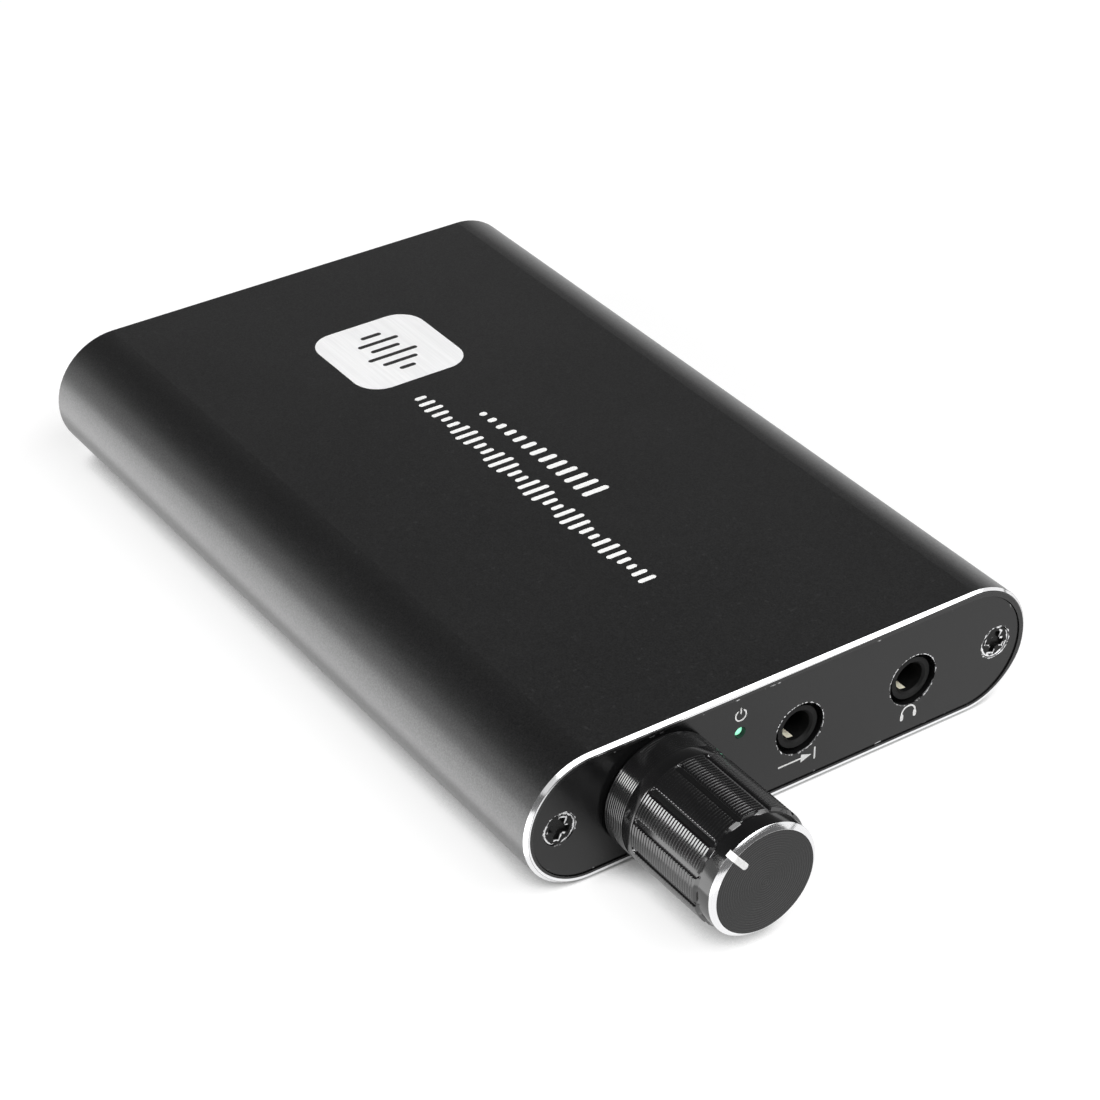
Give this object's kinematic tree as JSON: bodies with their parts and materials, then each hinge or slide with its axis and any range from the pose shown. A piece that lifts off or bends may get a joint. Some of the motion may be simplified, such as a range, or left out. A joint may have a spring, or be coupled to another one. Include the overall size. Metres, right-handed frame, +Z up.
{
  "type": "headphone amplifier",
  "caption": "Flat black aluminium box with full-round sides, a ribbed volume knob, a power light and 3.5 mm jacks; amplifies a player's signal for headphones.",
  "frame": {"origin": "centre of the case's flat underside", "axes": "+Z up, front panel with the knob and jacks facing -Y, +X to the right seen from the front"},
  "size_m": [0.066, 0.1222, 0.016],
  "materials": {
    "shell_anodised": "bead-blasted black anodising, bright cut edges",
    "panel_anodised": "fine matt black anodising",
    "screw_black": "black zinc",
    "knob_anodised": "turned, glossy black anodising, bright cut edge",
    "core_plastic": "moulded",
    "pointer_white": "filled paint line",
    "shaft_metal": "turned",
    "pot_metal": "pressed sheet",
    "rotor_plastic": "moulded",
    "bushing_brass": "threaded",
    "track_wafer": "phenolic",
    "tinned_metal": "tinned",
    "jack_plastic": "moulded",
    "gilt_contacts": "gilt",
    "green_lens": "lit",
    "red_lens": "clear",
    "board_laminate": "solder mask",
    "chip_epoxy": "moulded",
    "can_aluminium": "drawn can",
    "resistor_ceramic": "glazed",
    "inductor_ferrite": "sintered",
    "cell_pouch": "foil pouch",
    "foam_pad": "closed-cell foam tape",
    "lead_red": "insulation",
    "lead_black": "insulation",
    "plug_nylon": "moulded",
    "socket_steel": "plated",
    "switch_plastic": "moulded"
  },
  "bodies": {
    "case": {"case_shell": "shell_anodised", "front_panel": "panel_anodised", "rear_panel": "panel_anodised", "front_screws": "screw_black", "rear_screws": "screw_black", "pot_case": "pot_metal", "pot_bushing": "bushing_brass", "pot_washer": "tinned_metal", "pot_nut": "tinned_metal", "pot_track": "track_wafer", "pot_pins": "tinned_metal", "input_jack_body": "jack_plastic", "input_jack_contacts": "gilt_contacts", "output_jack_body": "jack_plastic", "output_jack_contacts": "gilt_contacts", "power_led": "green_lens", "power_led_legs": "tinned_metal", "main_board": "board_laminate", "amplifier_chips": "chip_epoxy", "charger_chip": "chip_epoxy", "chip_leads": "tinned_metal", "filter_capacitors": "can_aluminium", "capacitor_bases": "chip_epoxy", "chip_resistors": "resistor_ceramic", "power_inductor": "inductor_ferrite", "battery_cell": "cell_pouch", "battery_pad": "foam_pad", "battery_lead_red": "lead_red", "battery_lead_black": "lead_black", "battery_plug": "plug_nylon", "battery_header": "plug_nylon", "usb_shell": "socket_steel", "usb_tongue": "switch_plastic", "charge_led": "red_lens", "charge_led_legs": "tinned_metal", "gain_switch_frame": "tinned_metal", "gain_switch_pins": "tinned_metal"},
    "volume_knob": {"knob_body": "knob_anodised", "knob_core": "core_plastic", "knob_pointer": "pointer_white", "pot_shaft": "shaft_metal", "pot_rotor": "rotor_plastic"},
    "gain_lever": {"gain_slider": "switch_plastic"}
  },
  "joints": [
    {"name": "volume_turn", "type": "hinge", "parent": "case", "child": "volume_knob", "pos_m": [-0.01665, -0.05135, 0.008], "axis": [0, 1, 0], "range_deg": [-110.5, 189.5]},
    {"name": "gain_slide", "type": "slide", "parent": "case", "child": "gain_lever", "axis": [1, 0, 0], "range_m": [0, 0.002]}
  ]
}
